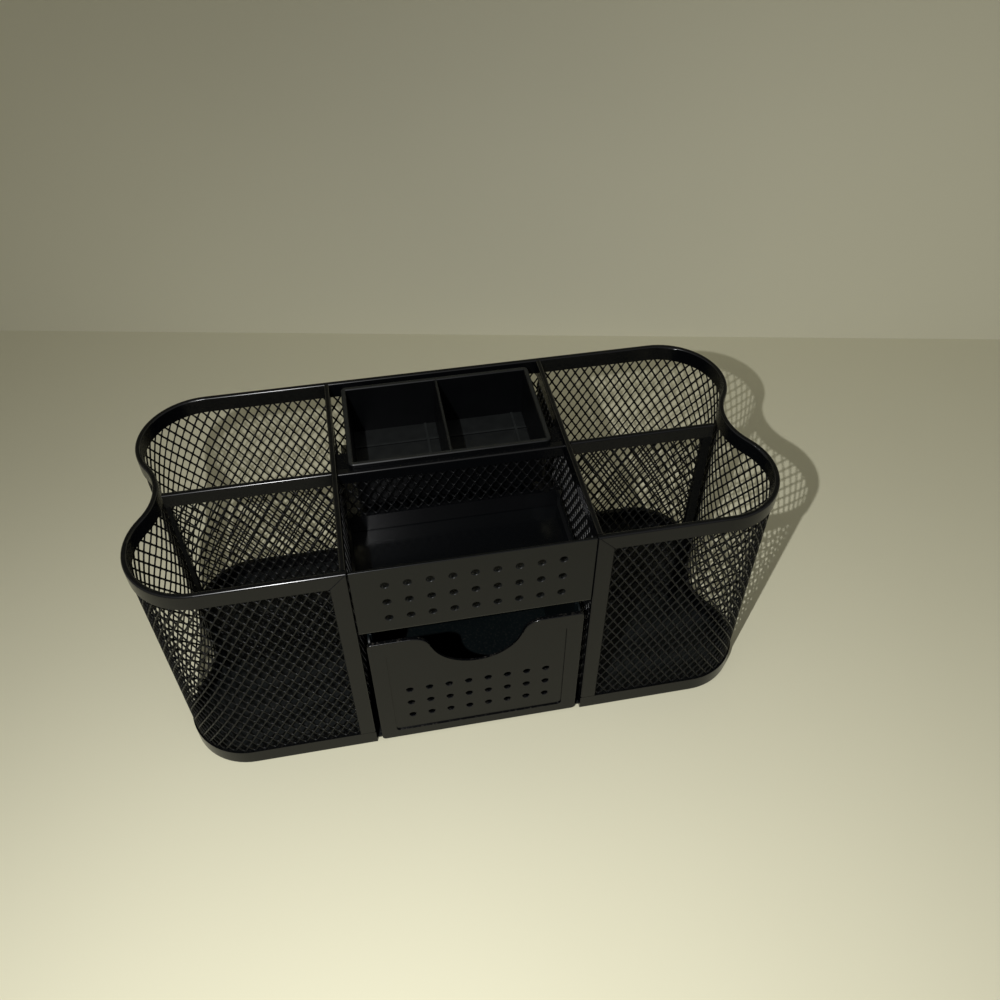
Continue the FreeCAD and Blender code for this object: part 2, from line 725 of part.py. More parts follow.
def make_drawer_front():
    """The drawer's face: scooped, perforated, with its middle pressed in a little."""
    thickness = size["drawer_front_thickness"]
    body = new_body("drawer_front")
    drawing = front_drawing(body)
    scoop_outline(drawing)
    feature = pad(body, drawing, thickness, reverse=True)

    def outer_corner(edge):
        box = edge.BoundBox
        at_side = abs(abs(box.XMin) - front_half.number) < SAME_PLACE
        return at_side and box.YLength > thickness.number / 2

    feature = round_edges(body, feature, size["drawer_corner_radius"], both(outer_corner, runs_along(1)))
    round_edges(body, feature, size["edge_rounding"], flat_at(front_face, 1))

    recess_half = front_half - size["recess_border_side"]
    recess = front_drawing(body)
    recess.rectangle((-recess_half, front_low + size["recess_border_low"]),
                     (recess_half, front_top - size["recess_border_high"]))
    feature = pocket(body, recess, size["recess_depth"] * 2, middle=True)

    def recess_corner(edge):
        return abs(abs(edge.CenterOfMass.x) - recess_half.number) < SAME_PLACE

    round_edges(body, feature, size["recess_corner_radius"], both(recess_corner, runs_along(1)))

    holes = front_drawing(body)
    add_holes(holes, size["drawer_hole_columns"], front_low + size["drawer_hole_height"])
    feature = pocket(body, holes, thickness * 2, middle=True)
    recess_face = front_face + size["recess_depth"]
    bevel_edges(body, feature, size["hole_bevel"], both(flat_at(recess_face, 1), hole_edge))


def make_drawer_box():
    """The bent sheet behind the drawer's face: bottom, two hemmed sides and a hemmed back."""
    wall = size["drawer_wall"]
    front = front_face + size["drawer_front_thickness"]
    back = back_inner - size["drawer_back_gap"]
    half = front_half - size["drawer_box_inset"]
    high = front_top - size["drawer_wall_drop"]
    hem_low = high - size["hem_height"]
    body = new_body("drawer_box")
    bottom = Drawing(body, "XY_Plane", front_low)
    bottom.rectangle((-half, front), (half, back))
    pad(body, bottom, wall)
    back_wall = Drawing(body, "XY_Plane", front_low)
    back_wall.rectangle((-half, back - wall), (half, back))
    pad(body, back_wall, high - front_low)
    back_hem = Drawing(body, "XY_Plane", hem_low)
    back_hem.rectangle((-half, back - wall * 2), (half, back))
    pad(body, back_hem, size["hem_height"])
    for side in (-1, 1):
        side_wall = Drawing(body, "YZ_Plane", span(side, half - wall, half)[0])
        draw_drawer_side(side_wall, front, back, front_low, high)
        pad(body, side_wall, wall)
        side_hem = Drawing(body, "YZ_Plane", span(side, half - wall * 2, half)[0])
        side_hem.rectangle((front + size["drawer_side_round"], hem_low), (back, high))
        feature = pad(body, side_hem, wall * 2)
    round_edges(body, feature, size["edge_rounding"], flat_at(high, 2))


def draw_drawer_side(drawing, front, back, low, high):
    """A drawer side from its low edge up, with a rounded front top corner."""
    radius = size["drawer_side_round"]
    centre = (front + radius, high - radius)
    corner = drawing.arc(centre, radius, math.pi / 2, math.pi)
    drawing.place(corner, CENTRE, centre)
    top_edge = drawing.line((back, high), (front + radius, high))
    front_edge = drawing.line((front, high - radius), (front, low))
    low_edge = drawing.line((front, low), (back, low))
    back_edge = drawing.line((back, low), (back, high))
    drawing.meet(top_edge, END, corner, START, "Tangent")
    drawing.meet(corner, END, front_edge, START, "Tangent")
    drawing.meet(front_edge, END, low_edge, START)
    drawing.meet(low_edge, END, back_edge, START)
    drawing.meet(back_edge, END, top_edge, START)
    drawing.place(low_edge, START, (front, low))
    drawing.place(back_edge, START, (back, low))
    drawing.place(top_edge, START, (back, high))


def make_tray():
    """The moulded tray: two compartments, a rim lip and low ribs on its floor."""
    lip = size["tray_lip"]
    wall = size["tray_wall"]
    draft = size["tray_draft"]
    body = new_body("pen_tray")
    shell = Drawing(body, "XY_Plane", top)
    shell.rectangle((-tray_half + lip, tray_front + lip), (tray_half - lip, tray_back - lip))
    feature = pad(body, shell, size["tray_height"], reverse=True, draft=-draft)

    def upright(edge):
        return edge.BoundBox.ZLength > size["tray_height"].number / 2

    round_edges(body, feature, size["tray_corner_radius"], upright)
    rim = Drawing(body, "XY_Plane", lip_low)
    rim.rectangle((-tray_half, tray_front), (tray_half, tray_back))
    rim_feature = pad(body, rim, top - lip_low)

    def rim_corner(edge):
        box = edge.BoundBox
        return abs(abs(box.XMin) - tray_half.number) < SAME_PLACE

    round_edges(body, rim_feature, size["tray_corner_radius"], both(rim_corner, runs_along(2)))

    inner = tray_half - lip - wall
    cut_depth = size["tray_height"] - wall
    compartment_y = (tray_front + lip + wall, tray_back - lip - wall)
    for side in (-1, 1):
        low, high = span(side, wall / 2, inner)
        hollow = Drawing(body, "XY_Plane", top)
        hollow.rectangle((low, compartment_y[0]), (high, compartment_y[1]))
        feature = pocket(body, hollow, cut_depth, draft=-draft)
    bevel_edges(body, feature, size["tray_edge_bevel"], flat_at(top, 2))
    for side in (-1, 1):
        low, high = span(side, wall / 2, inner)
        add_tray_ribs(body, low, high, compartment_y)


def add_tray_ribs(body, low, high, compartment_y):
    """The low ribs that cross on one compartment's floor. Their ends sink into its leaning walls."""
    half_rib = size["tray_rib_width"] / 2
    floor = top - size["tray_height"] + size["tray_wall"]
    long_y = tray_front + size["tray_rib_inset"]
    cross_x = high - size["tray_rib_side"]
    front, back = compartment_y
    for rib_low, rib_high in (((low, long_y - half_rib), (high, long_y + half_rib)),
                              ((cross_x - half_rib, front), (cross_x + half_rib, back))):
        rib = Drawing(body, "XY_Plane", floor)
        rib.rectangle(rib_low, rib_high)
        pad(body, rib, size["tray_rib_height"])


def make_pieces():
    """Every piece of the stand, each as its own object."""
    make_outer_mesh()
    make_rims()
    make_posts()
    make_base_plate()
    make_side_panels()
    make_dividers()
    make_partition()
    make_shelf_panel()
    make_tray_lugs()
    make_drawer_front()
    make_drawer_box()
    make_tray()


def check_and_write():
    """Refuse failed objects, then write one STEP file for each piece."""
    doc.recompute()
    for item in doc.Objects:
        if "Invalid" in item.State or "Error" in item.State:
            raise RuntimeError("%s failed: %s" % (item.Label, item.State))
    pieces = [item for item in doc.Objects if item.TypeId in ("PartDesign::Body", "Part::Box")]
    for piece in pieces:
        if piece.Shape.isNull() or not piece.Shape.isValid():
            raise RuntimeError("%s has no valid shape" % piece.Label)
        if len(piece.Shape.Solids) != 1:
            raise RuntimeError("%s has %d solids" % (piece.Label, len(piece.Shape.Solids)))
    for piece in pieces:
        piece.Shape.exportStep("parts/%s.step" % piece.Label)
        box = piece.Shape.optimalBoundingBox()
        print("%-20s %8.0f mm3  x %.1f..%.1f  y %.1f..%.1f  z %.1f..%.1f" % (
            piece.Label, piece.Shape.Volume, box.XMin, box.XMax, box.YMin, box.YMax, box.ZMin, box.ZMax))
    print("%d pieces" % len(pieces))


make_pieces()
check_and_write()
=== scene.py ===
"""Looks of a steel-mesh pen stand with a drawer and a lift-out tray.

The solid strips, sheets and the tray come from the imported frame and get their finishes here. The mesh
sheets are built here, strand by strand, and stand for the frame's plain sheets. Lengths are in metres,
X to the right, Y from the front to the back, Z up, with the origin under the middle of the stand.
"""
import logging
import math
from dataclasses import dataclass, field
from enum import Enum

import bmesh
import bpy
from mathutils import Matrix, Vector


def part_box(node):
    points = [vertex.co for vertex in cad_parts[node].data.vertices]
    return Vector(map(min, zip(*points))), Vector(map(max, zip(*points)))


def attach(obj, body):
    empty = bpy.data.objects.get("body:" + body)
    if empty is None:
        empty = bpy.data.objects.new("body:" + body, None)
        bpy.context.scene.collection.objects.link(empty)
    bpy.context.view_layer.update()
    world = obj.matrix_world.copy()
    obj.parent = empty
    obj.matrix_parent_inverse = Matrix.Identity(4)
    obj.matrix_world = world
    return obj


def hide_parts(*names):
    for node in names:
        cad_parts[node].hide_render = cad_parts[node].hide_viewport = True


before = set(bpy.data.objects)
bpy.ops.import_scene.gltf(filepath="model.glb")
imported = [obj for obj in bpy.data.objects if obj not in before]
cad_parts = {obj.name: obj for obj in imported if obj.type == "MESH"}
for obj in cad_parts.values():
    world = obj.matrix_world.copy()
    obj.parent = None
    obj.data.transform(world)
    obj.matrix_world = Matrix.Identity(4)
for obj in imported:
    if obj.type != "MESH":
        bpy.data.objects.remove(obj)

logging.basicConfig(level=logging.INFO, format="%(name)s: %(message)s")
log = logging.getLogger("pen_stand")

MILLIMETRE = 0.001

Colour = tuple[float, float, float]
Place = tuple[float, float, float]
Spot = tuple[float, float]
Span = tuple[float, float]

NOISE_ROUGHNESS = 0.5
DUSTY_SLOPES: Span = (0.6, 1.0)


class Body(Enum):
    """The body that the mesh sheets ride on."""

    STAND = "stand"


class Slot(Enum):
    """A name for the mesh sheets' material slot, which this script never uses."""

    MESH = "mesh"


class Side(Enum):
    """The sides of the stand, in the words that the names of their nodes begin with."""

    LEFT = "left"
    RIGHT = "right"


class Wire:
    """An output socket of a node tree that can stand in sums and products."""

    def __init__(self, board: "Board", socket: bpy.types.NodeSocket) -> None:
        """Remember the tree and the socket."""
        self.board = board
        self.socket = socket

    def __add__(self, other: "Wire | float") -> "Wire":
        """The sum of two values."""
        return self.board.maths("ADD", self, other)

    def __radd__(self, other: float) -> "Wire":
        """The sum, with a number first."""
        return self.board.maths("ADD", other, self)

    def __sub__(self, other: "Wire | float") -> "Wire":
        """The difference of two values."""
        return self.board.maths("SUBTRACT", self, other)

    def __rsub__(self, other: float) -> "Wire":
        """The difference, with a number first."""
        return self.board.maths("SUBTRACT", other, self)

    def __mul__(self, other: "Wire | float") -> "Wire":
        """The product of two values."""
        return self.board.maths("MULTIPLY", self, other)

    def __rmul__(self, other: float) -> "Wire":
        """The product, with a number first."""
        return self.board.maths("MULTIPLY", other, self)


class Board:
    """A node tree, shader or geometry, that is filled node by node."""

    def __init__(self, tree: bpy.types.NodeTree) -> None:
        """Start on an empty tree."""
        self.tree = tree
        tree.nodes.clear()

    def node(self, kind: str, settings: dict | None = None, inputs: dict | None = None,
             output: int | str = 0) -> Wire:
        """Add a node.

        Args:
            kind: The node's type.
            settings: Its properties, with a colour ramp's stops under "stops".
            inputs: Values or wires for its input sockets, by name or number.
            output: The output socket to return.

        Returns:
            The chosen output.
        """
        made = self.tree.nodes.new(kind)
        for name, value in (settings or {}).items():
            if name == "stops":
                self._set_stops(made.color_ramp, value)
            else:
                setattr(made, name, value)
        for name, value in (inputs or {}).items():
            if isinstance(value, Wire):
                self.tree.links.new(value.socket, made.inputs[name])
            else:
                made.inputs[name].default_value = value
        return Wire(self, made.outputs[output]) if made.outputs else Wire(self, None)

    def maths(self, operation: str, first: "Wire | float", second: "Wire | float" = 0.0) -> Wire:
        """A Math node on two values."""
        return self.node("ShaderNodeMath", {"operation": operation}, {0: first, 1: second})

    def vector_maths(self, operation: str, inputs: dict) -> Wire:
        """A Vector Math node."""
        return self.node("ShaderNodeVectorMath", {"operation": operation}, inputs)

    def joined(self, *parts: Wire) -> Wire:
        """Join geometries.

        Args:
            *parts: The geometries.

        Returns:
            All of them as one geometry.
        """
        join = self.node("GeometryNodeJoinGeometry")
        for part in parts:
            self.tree.links.new(part.socket, join.socket.node.inputs[0])
        return join

    def _set_stops(self, ramp: bpy.types.ColorRamp, stops: tuple[tuple[float, float], ...]) -> None:
        """Give a ramp its stops.

        Args:
            ramp: The ramp of a new node.
            stops: A position and a grey level for each stop.
        """
        while len(ramp.elements) < len(stops):
            ramp.elements.new(1.0)
        for element, (position, level) in zip(ramp.elements, stops):
            element.position = position
            element.color = (level, level, level, 1.0)


def sibling(wire: Wire, output: int | str) -> Wire:
    """Another output of the node that a wire comes from."""
    return Wire(wire.board, wire.socket.node.outputs[output])


class Finish:
    """A material that is built once and shared by pieces."""

    name: str

    def build(self) -> bpy.types.Material:
        """Make the material, or find it where it is made already.

        Returns:
            The finished material.
        """
        material = bpy.data.materials.get(self.name)
        if material is None:
            material = bpy.data.materials.new(self.name)
            material.use_nodes = True
            self.fill(Board(material.node_tree))
        return material

    def fill(self, board: Board) -> None:
        """Add the nodes of this finish."""
        raise NotImplementedError


def close_surface(board: Board, inputs: dict) -> None:
    """End a material with a Principled shader."""
    shader = board.node("ShaderNodeBsdfPrincipled", None, inputs)
    board.node("ShaderNodeOutputMaterial", None, {"Surface": shader})


def noise(board: Board, size: float, detail: float = 2.0) -> Wire:
    """Noise on the object's own coordinates.

    Args:
        board: The tree that it is added to.
        size: About the size of its features.
        detail: How many finer layers it has.

    Returns:
        A value round 0.5 at each place.
    """
    place = board.node("ShaderNodeTexCoord", output="Object")
    return board.node("ShaderNodeTexNoise", {"noise_dimensions": "3D"},
                      {"Vector": place, "Scale": 1.0 / size, "Detail": detail, "Roughness": NOISE_ROUGHNESS})


def facing(board: Board) -> Wire:
    """How far each face looks up, beside how far it looks right and back."""
    normal = board.node("ShaderNodeNewGeometry", output="Normal")
    return board.node("ShaderNodeSeparateXYZ", None, {0: normal}, output="Z")


def height_of(board: Board) -> Wire:
    """The height of each place, beside its X and Y."""
    place = board.node("ShaderNodeTexCoord", output="Object")
    return board.node("ShaderNodeSeparateXYZ", None, {0: place}, output="Z")


def ramp_over(board: Board, value: Wire, span: Span) -> Wire:
    """A share that runs from 0 to 1 while a value runs over a span."""
    start, full = span
    return board.node("ShaderNodeMapRange", None, {"Value": value, "From Min": start, "From Max": full})


def mixed(board: Board, share: Wire, first: Wire | Colour, second: Colour) -> Wire:
    """A colour between two others.

    Args:
        board: The tree that it is added to.
        share: How much of the second colour shows.
        first: The first colour, or the wire that carries it.
        second: The second colour.

    Returns:
        The mixed colour.
    """
    start = first if isinstance(first, Wire) else (*first, 1.0)
    return board.node("ShaderNodeMix", {"data_type": "RGBA"},
                      {"Factor": share, "A": start, "B": (*second, 1.0)}, output="Result")


def relief(board: Board, size: float, depth: float, detail: float) -> Wire:
    """A fine unevenness that only the shading shows.

    Args:
        board: The tree that it is added to.
        size: The size of its bumps.
        depth: Their height.
        detail: How many finer layers they have.

    Returns:
        The normal to shade with.
    """
    bumps = noise(board, size, detail)
    return board.node("ShaderNodeBump", None, {"Strength": 1.0, "Distance": depth, "Height": bumps})


@dataclass(frozen=True)
class PowderCoat(Finish):
    """Baked black powder coat: a fine orange peel, uneven sheen and a little dust on top faces.

    Handling has given an extra gloss to the upper edges, and on some pieces to the top, where it sets in
    over a span of Y, or to the front above a height.
    """

    DUST_GRAINS = ((0.55, 0.0), (0.75, 1.0))
    UPPER_EDGES = ((0.35, 0.0), (0.5, 1.0), (0.85, 1.0), (0.97, 0.0))
    LEVEL_FACES = (0.97, 1.0)
    FRONT_FACES = (-0.97, -1.0)

    name: str
    colour: Colour = (0.0015, 0.0017, 0.0022)
    lighter: Colour = (0.0026, 0.0029, 0.0034)
    cloud_size: float = 18.0 * MILLIMETRE
    roughness: float = 0.22
    cloud_roughness: float = 0.10
    side_roughness: float = 0.0
    specular: float = 0.18
    peel_size: float = 0.55 * MILLIMETRE
    peel_depth: float = 0.006 * MILLIMETRE
    dust: Colour = (0.115, 0.105, 0.088)
    dust_size: float = 0.9 * MILLIMETRE
    dust_amount: float = 0.05
    dust_roughness: float = 0.5
    rubbed_edges: float = 0.85
    rubbed_top: float = 0.0
    top_rubbed_over: Span = (-1.0, -0.9)
    rubbed_front: float = 0.0
    front_rubbed_from: float = 0.0
    gloss_index: float = 1.5
    gloss_roughness: float = 0.9

    def fill(self, board: Board) -> None:
        """Add the coat's colour, sheen, dust and orange peel.

        Args:
            board: The material's empty tree.
        """
        cloudy = noise(board, self.cloud_size, detail=3.0)
        colour = mixed(board, cloudy, self.colour, self.lighter)
        roughness = (cloudy - 0.5) * self.cloud_roughness + self.roughness
        upward = facing(board)
        if self.dust_amount:
            dusty = self._dusty(board, upward) * cloudy * self.dust_amount
            colour = mixed(board, dusty, colour, self.dust)
            roughness = roughness + dusty * self.dust_roughness
        if self.side_roughness:
            roughness = roughness + board.maths("ABSOLUTE", sibling(upward, "X")) * self.side_roughness
        inputs = {"Base Color": colour, "Roughness": roughness, "Specular IOR Level": self.specular,
                  "Normal": relief(board, self.peel_size, self.peel_depth, detail=1.5)}
        if self.rubbed_edges or self.rubbed_top or self.rubbed_front:
            inputs |= {"Coat Weight": self._rubbed(board, upward), "Coat IOR": self.gloss_index,
                       "Coat Roughness": self.roughness * self.gloss_roughness}
        close_surface(board, inputs)

    def _dusty(self, board: Board, upward: Wire) -> Wire:
        """Where grains of dust lie.

        Args:
            board: The material's tree.
            upward: How far each face looks up.

        Returns:
            Twice the share of dust at each place, before the clouds thin it.
        """
        on_top = ramp_over(board, upward, DUSTY_SLOPES)
        speckle = noise(board, self.dust_size)
        return on_top * 2.0 * board.node("ShaderNodeValToRGB", {"stops": self.DUST_GRAINS}, {"Fac": speckle})

    def _rubbed(self, board: Board, upward: Wire) -> Wire:
        """How glossy handling has made each place.

        Args:
            board: The material's tree.
            upward: How far each face looks up.

        Returns:
            The weight of the gloss.
        """
        edges = board.node("ShaderNodeValToRGB", {"stops": self.UPPER_EDGES}, {"Fac": upward})
        flat_top = ramp_over(board, upward, self.LEVEL_FACES)
        forward = ramp_over(board, sibling(upward, "Y"), self.FRONT_FACES)
        height = height_of(board)
        reached = ramp_over(board, sibling(height, "Y"), self.top_rubbed_over)
        top = flat_top * reached * self.rubbed_top
        front = forward * board.maths("GREATER_THAN", height, self.front_rubbed_from) * self.rubbed_front
        return edges * self.rubbed_edges + top + front


@dataclass(frozen=True)
class MouldedPlastic(Finish):
    """Injection-moulded black polystyrene: a faint grain, flow marks and dust on its top faces.

    The ribs on its floor stand up into a band of heights that gets more of the pale colour, so that they read
    lighter than the floor.
    """

    name: str
    colour: Colour = (0.0006, 0.0008, 0.0011)
    lighter: Colour = (0.0012, 0.0015, 0.0019)
    flow_size: float = 12.0 * MILLIMETRE
    roughness: float = 0.40
    flow_roughness: float = 0.18
    specular: float = 0.25
    grain_size: float = 0.4 * MILLIMETRE
    grain_depth: float = 0.008 * MILLIMETRE
    dust: Colour = (0.11, 0.12, 0.115)
    dust_size: float = 4.0 * MILLIMETRE
    dust_amount: float = 0.10
    rib_band_from: float = 0.0
    rib_band_to: float = 0.0
    rib_band_amount: float = 0.06

    def fill(self, board: Board) -> None:
        """Add the plastic's colour, sheen, dust and grain.

        Args:
            board: The material's empty tree.
        """
        flow = noise(board, self.flow_size)
        tone = mixed(board, flow, self.colour, self.lighter)
        on_top = ramp_over(board, facing(board), DUSTY_SLOPES)
        height = height_of(board)
        # The rib tops, inside a band of heights, get more of the pale colour and read lighter than the floor.
        on_rib = board.maths("GREATER_THAN", height, self.rib_band_from) * board.maths(
            "LESS_THAN", height, self.rib_band_to)
        amount = on_rib * self.rib_band_amount + self.dust_amount
        dusty = on_top * (noise(board, self.dust_size, detail=4.0) + 0.5) * amount
        close_surface(board, {
            "Base Color": mixed(board, dusty, tone, self.dust),
            "Roughness": (flow - 0.5) * self.flow_roughness + self.roughness,
            "Specular IOR Level": self.specular,
            "Normal": relief(board, self.grain_size, self.grain_depth, detail=2.0),
        })


@dataclass(frozen=True)
class PaleCloth(Finish):
    """The pale matt cloth that the stand is shown on and in front of."""

    name: str
    colour: Colour
    shade: Colour
    cloud_size: float = 0.15
    roughness: float = 0.9

    def fill(self, board: Board) -> None:
        """Add a matt colour with faint clouds."""
        tone = mixed(board, noise(board, self.cloud_size), self.colour, self.shade)
        close_surface(board, {"Base Color": tone, "Roughness": self.roughness})


class LatticeTree:
    """A Geometry Nodes tree for expanded steel mesh, stood upright along a path.

    Diamond cells with blunt-cornered holes are set out in two staggered grids, welded into one sheet of
    strands that are thickest along their middles, closed at the back and round the edge, turned a little
    like the slats of a blind, and then wrapped along the path. The weld and the height that tells the rim
    from the holes are shares of the strands' thickness.
    """

    CORNERS = 8
    SIDE_MIDDLE = math.sqrt(0.5)
    SIDE_REACH = 0.5
    WELD = 0.05
    RIM_HEIGHT = 0.375
    INPUTS = {
        "Path": "Object", "Columns": "Int", "Rows": "Int", "Cell Width": "Float", "Cell Height": "Float",
        "Opening": "Float", "Blunting": "Float", "Thickness": "Float", "Lean": "Float",
        "Middle Height": "Float", "Finish": "Material",
    }

    def __init__(self) -> None:
        """Make the tree and its named inputs."""
        self.group = bpy.data.node_groups.new("expanded_mesh", "GeometryNodeTree")
        self.board = Board(self.group)
        self.sockets: dict[str, str] = {}
        for name, kind in self.INPUTS.items():
            socket = self.group.interface.new_socket(name, in_out="INPUT", socket_type="NodeSocket" + kind)
            self.sockets[name] = socket.identifier
        self.group.interface.new_socket("Mesh", in_out="OUTPUT", socket_type="NodeSocketGeometry")
        self.inputs = self.board.node("NodeGroupInput")
        self._fill()

    def given(self, name: str) -> Wire:
        """The value of a named input."""
        return sibling(self.inputs, name)

    def _fill(self) -> None:
        """Chain the steps from one cell to the wrapped sheet."""
        board = self.board
        sheet = self._front_sheet(self._cell())
        wrapped = self._wrap(self._close_back(sheet))
        smooth = board.node("GeometryNodeSetShadeSmooth", None, {"Geometry": wrapped})
        plain = board.node("GeometryNodeRealizeInstances", None, {"Geometry": smooth})
        dressed = board.node("GeometryNodeSetMaterial", None,
                             {"Geometry": plain, "Material": self.given("Finish")})
        board.node("NodeGroupOutput", None, {"Mesh": dressed})

    def _diamond(self) -> Wire:
        """A flat diamond, 2 wide and 2 high, with a corner at the middle of each side.

        Returns:
            One face, with its tips marked.
        """
        board = self.board
        disc = board.node("GeometryNodeMeshCircle", {"fill_type": "NGON"},
                          {"Vertices": self.CORNERS, "Radius": 1.0})
        between = board.maths("MODULO", board.node("GeometryNodeInputIndex"), 2.0)
        marked = self._marked(disc, "tip", 1.0 - between)
        place = board.node("GeometryNodeInputPosition")
        diamond_place = board.vector_maths("SCALE", {
            0: place, "Scale": 1.0 - between * (1.0 - self.SIDE_MIDDLE)})
        return board.node("GeometryNodeSetPosition", None, {"Geometry": marked, "Position": diamond_place})

    def _cell(self) -> Wire:
        """One diamond ring: its rim raised to half the strand's thickness, its hole at the middle plane.

        Returns:
            The ring, lying flat.
        """
        board = self.board
        ring = board.node("GeometryNodeExtrudeMesh", {"mode": "FACES"},
                          {"Mesh": self._diamond(), "Offset Scale": 0.0}, output="Mesh")
        hole = sibling(ring, "Top")
        place = board.node("GeometryNodeInputPosition")
        across = board.node("ShaderNodeSeparateXYZ", None, {0: place}, output="X")
        side = board.node("ShaderNodeMapRange", None, {
            "Value": across, "From Min": -self.SIDE_REACH, "From Max": self.SIDE_REACH,
            "To Min": -1.0, "To Max": 1.0})
        sided = self._marked(ring, "side", side, hole)
        shrink = self.given("Opening") - self._mark("tip") * self.given("Blunting")
        inner = board.vector_maths("SCALE", {0: place, "Scale": shrink})
        opened = board.node("GeometryNodeSetPosition", None,
                            {"Geometry": sided, "Selection": hole, "Position": inner})
        size = board.node("ShaderNodeCombineXYZ", None, {
            "X": self.given("Cell Width") * 0.5, "Y": self.given("Cell Height") * 0.5, "Z": 1.0})
        sized = board.node("GeometryNodeSetPosition", None, {
            "Geometry": opened, "Position": board.vector_maths("MULTIPLY", {0: place, 1: size})})
        lift = board.node("ShaderNodeCombineXYZ", None, {"Z": self.given("Thickness") * 0.5})
        outside = board.node("FunctionNodeBooleanMath", {"operation": "NOT"}, {0: hole})
        raised = board.node("GeometryNodeSetPosition", None,
                            {"Geometry": sized, "Selection": outside, "Offset": lift})
        return board.node("GeometryNodeDeleteGeometry", {"domain": "FACE", "mode": "ONLY_FACE"},
                          {"Geometry": raised, "Selection": hole})

    def _marked(self, geometry: Wire, name: str, value: Wire, where: Wire | None = None) -> Wire:
        """Store a value on points.

        Args:
            geometry: What the points belong to.
            name: The name that the value is stored under.
            value: The value.
            where: Which points get it, or nothing for all of them.

        Returns:
            The geometry with its points marked.
        """
        inputs = {"Geometry": geometry, "Name": name, "Value": value}
        if where is not None:
            inputs["Selection"] = where
        return self.board.node("GeometryNodeStoreNamedAttribute", {"data_type": "FLOAT", "domain": "POINT"},
                               inputs)

    def _mark(self, name: str) -> Wire:
        """A value that is stored on points."""
        return self.board.node("GeometryNodeInputNamedAttribute", {"data_type": "FLOAT"}, {"Name": name})

    def _welded(self, geometry: Wire) -> Wire:
        """A geometry whose points are one where they lie together."""
        return self.board.node("GeometryNodeMergeByDistance", None,
                               {"Geometry": geometry, "Distance": self.given("Thickness") * self.WELD})

    def _grid(self, fewer: int) -> Wire:
        """Points at the middles of one of the two staggered sets of cells.

        Args:
            fewer: How many columns and rows the set has fewer than the sheet.

        Returns:
            The points.
        """
        columns = self.given("Columns") - float(fewer)
        rows = self.given("Rows") - float(fewer)
        return self.board.node("GeometryNodeMeshGrid", None, {
            "Size X": (columns - 1.0) * self.given("Cell Width"),
            "Size Y": (rows - 1.0) * self.given("Cell Height"),
            "Vertices X": columns, "Vertices Y": rows})

    def _front_sheet(self, cell: Wire) -> Wire:
        """Weld both sets of cells into one sheet.

        Args:
            cell: The ring that each set repeats.

        Returns:
            The sheet's front.
        """
        board = self.board
        sets = [board.node("GeometryNodeInstanceOnPoints", None,
                           {"Points": self._grid(fewer), "Instance": cell}) for fewer in (0, 1)]
        return self._welded(board.node("GeometryNodeRealizeInstances", None,
                                       {"Geometry": board.joined(*sets)}))

    def _close_back(self, front: Wire) -> Wire:
        """Mirror the sheet to the back, wall its outer edge and turn its strands.

        Args:
            front: The sheet's front.

        Returns:
            The closed flat sheet.
        """
        board = self.board
        neighbours = board.node("GeometryNodeInputMeshEdgeNeighbors")
        alone = board.node("FunctionNodeCompare", {"data_type": "INT", "operation": "EQUAL"},
                           {2: neighbours, 3: 1})
        place = board.node("GeometryNodeInputPosition")
        height = board.node("ShaderNodeSeparateXYZ", None, {0: place}, output="Z")
        on_rim = board.node("FunctionNodeCompare", {"data_type": "FLOAT", "operation": "GREATER_THAN"},
                            {0: height, 1: self.given("Thickness") * self.RIM_HEIGHT})
        outline = board.node("FunctionNodeBooleanMath", {"operation": "AND"}, {0: alone, 1: on_rim})
        down = board.node("ShaderNodeCombineXYZ", None, {"Z": -1.0})
        walled = board.node("GeometryNodeExtrudeMesh", {"mode": "EDGES"}, {
            "Mesh": front, "Selection": outline, "Offset": down, "Offset Scale": self.given("Thickness")})
        back = board.node("GeometryNodeTransform", None, {"Geometry": front, "Scale": (1.0, 1.0, -1.0)})
        closed = self._welded(board.joined(walled, back))
        shift = board.node("ShaderNodeCombineXYZ", None, {"Z": self._mark("side") * self.given("Lean")})
        return board.node("GeometryNodeSetPosition", None, {"Geometry": closed, "Offset": shift})

    def _wrap(self, flat: Wire) -> Wire:
        """Stand the flat sheet upright along the path.

        Args:
            flat: The closed flat sheet.

        Returns:
            The standing sheet.
        """
        board = self.board
        place = board.node("GeometryNodeInputPosition")
        across = board.node("ShaderNodeSeparateXYZ", None, {0: place}, output="X")
        along = self.given("Columns") * self.given("Cell Width") * 0.5 + across
        path = board.node("GeometryNodeObjectInfo", None, {"Object": self.given("Path")}, output="Geometry")
        spot = board.node("GeometryNodeSampleCurve", {"mode": "LENGTH"},
                          {"Curves": path, "Length": along}, output="Position")
        upward = board.node("ShaderNodeCombineXYZ", None, {"Z": 1.0})
        sideways = board.vector_maths("CROSS_PRODUCT", {0: sibling(spot, "Tangent"), 1: upward})
        off_plane = board.vector_maths("SCALE", {0: sideways, "Scale": sibling(across, "Z")})
        level = board.node("ShaderNodeCombineXYZ", None, {
            "Z": sibling(across, "Y") + self.given("Middle Height")})
        rooted = board.vector_maths("ADD", {0: spot, 1: off_plane})
        return board.node("GeometryNodeSetPosition", None, {
            "Geometry": flat, "Position": board.vector_maths("ADD", {0: rooted, 1: level})})


